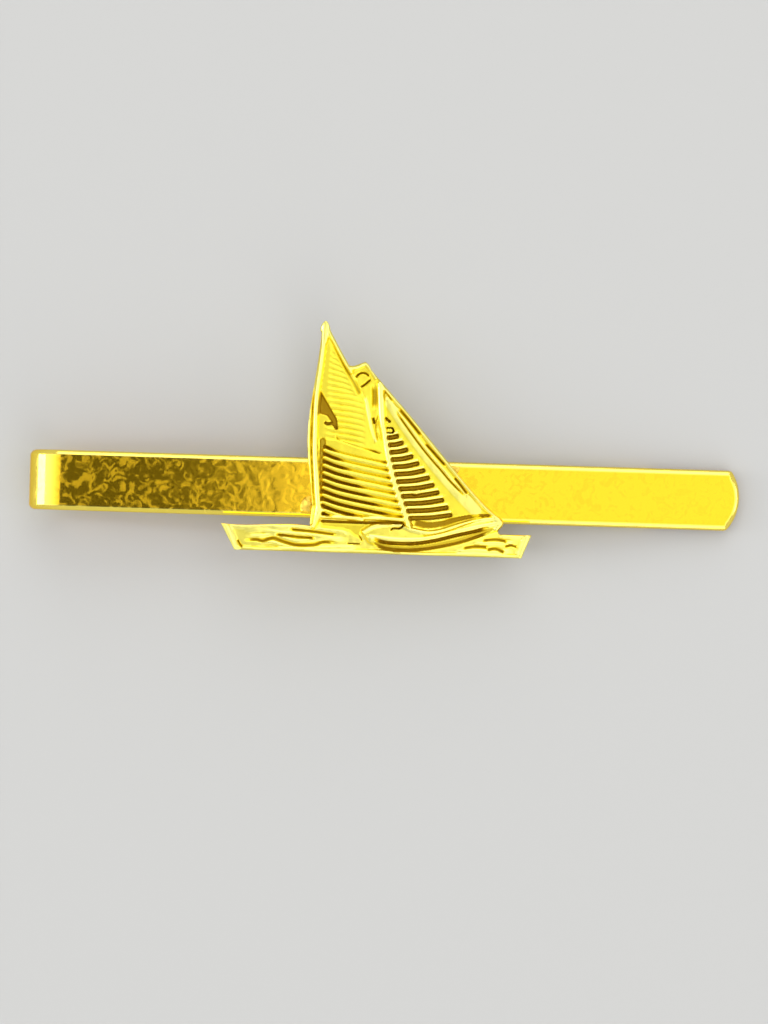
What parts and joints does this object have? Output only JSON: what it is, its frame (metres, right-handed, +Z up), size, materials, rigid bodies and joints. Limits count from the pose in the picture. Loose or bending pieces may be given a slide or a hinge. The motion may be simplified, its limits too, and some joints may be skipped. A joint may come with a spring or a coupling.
{
  "type": "tie slide",
  "caption": "Gilt brass tie slide: a bevelled strip folded into a spring clip, with a struck sailing yacht soldered across its front.",
  "frame": {"origin": "bottom centre of the whole part's box, lying on its back on a table, on the underside of the loop and the foot of the leg", "axes": "+X along the bar to its open end, +Y towards the yacht's masthead, +Z up, out of the front (the front face leans 5.1 degrees to +X)"},
  "size_m": [0.057, 0.0182, 0.006],
  "materials": {
    "gilt_strip": "polished gold plate on brass, lightly scratched and tarnished",
    "gilt_emblem": "bright gold plate on struck brass, darker in the recesses",
    "solder": "gold-plated solder, uneven"
  },
  "bodies": {
    "front": {"front_bar": "gilt_strip", "yacht_emblem": "gilt_emblem", "solder_joint": "solder"},
    "leg": {"spring_leg": "gilt_strip"}
  },
  "joints": [
    {"name": "loop_flex", "type": "hinge", "parent": "leg", "child": "front", "pos_m": [-0.0285, -0.00405, 0.00327], "axis": [0, -1, 0], "range_deg": [0, 6], "stiffness_Nm_per_rad": 0.39}
  ]
}
